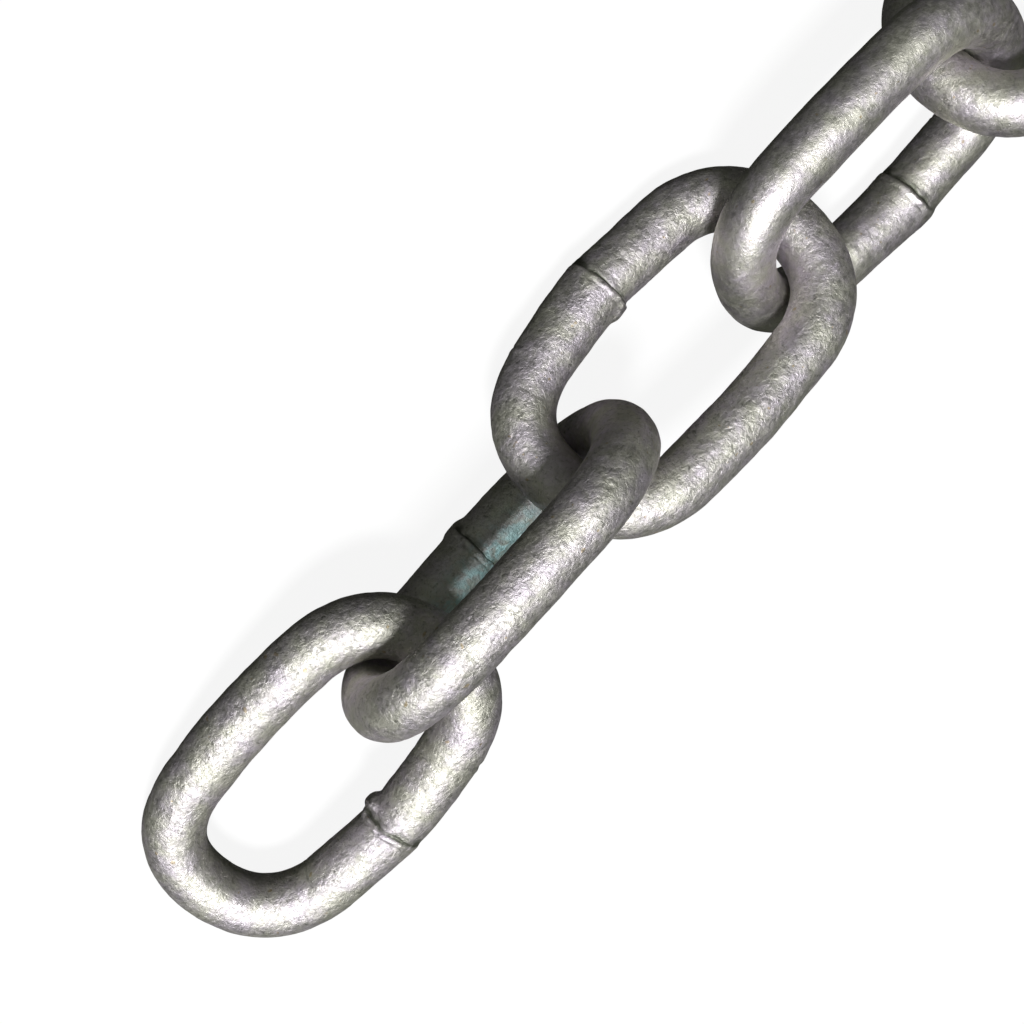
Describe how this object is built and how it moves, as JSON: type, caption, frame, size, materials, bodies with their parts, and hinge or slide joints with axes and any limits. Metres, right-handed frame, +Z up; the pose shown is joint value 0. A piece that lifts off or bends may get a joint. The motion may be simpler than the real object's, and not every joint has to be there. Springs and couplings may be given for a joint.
{
  "type": "anchor chain",
  "caption": "Short length of hot-dip galvanised anchor chain: interlocked butt-welded links of round steel bar, each free to swing on the next.",
  "frame": {"origin": "on the floor that the chain lies on, at the middle of its length and width", "axes": "+X along the chain from its free end, link_1, to link_5; +Z up"},
  "size_m": [0.3009, 0.0568, 0.0515],
  "materials": {
    "galvanised_steel": "hot-dip galvanised: dull mottled grey zinc, finely pitted and lumpy, rubbed smoother where links bear"
  },
  "bodies": {
    "link_1": {"link_1": "galvanised_steel"},
    "link_2": {"link_2": "galvanised_steel"},
    "link_3": {"link_3": "galvanised_steel"},
    "link_4": {"link_4": "galvanised_steel"},
    "link_5": {"link_5": "galvanised_steel"}
  },
  "joints": [
    {"name": "link_2_on_link_1", "type": "hinge", "parent": "link_1", "child": "link_2", "pos_m": [-0.07608, 0.00156, 0.02263], "axis": [0.0846, -0.9928, 0.0849], "range_deg": [-90, 90]},
    {"name": "link_3_on_link_2", "type": "hinge", "parent": "link_2", "child": "link_3", "pos_m": [-0.022, 0.005, 0.02606], "axis": [0.4226, 0.1574, 0.8925], "range_deg": [-30, 30]},
    {"name": "link_4_on_link_3", "type": "hinge", "parent": "link_3", "child": "link_4", "pos_m": [0.03276, 0.00318, 0.01479], "axis": [-0.3275, -0.772, 0.5447], "range_deg": [-80, 30]},
    {"name": "link_5_on_link_4", "type": "hinge", "parent": "link_4", "child": "link_5", "pos_m": [0.08793, 0.00049, 0.01953], "axis": [-0.1434, 0.8331, 0.5342], "range_deg": [-70, 90]}
  ]
}
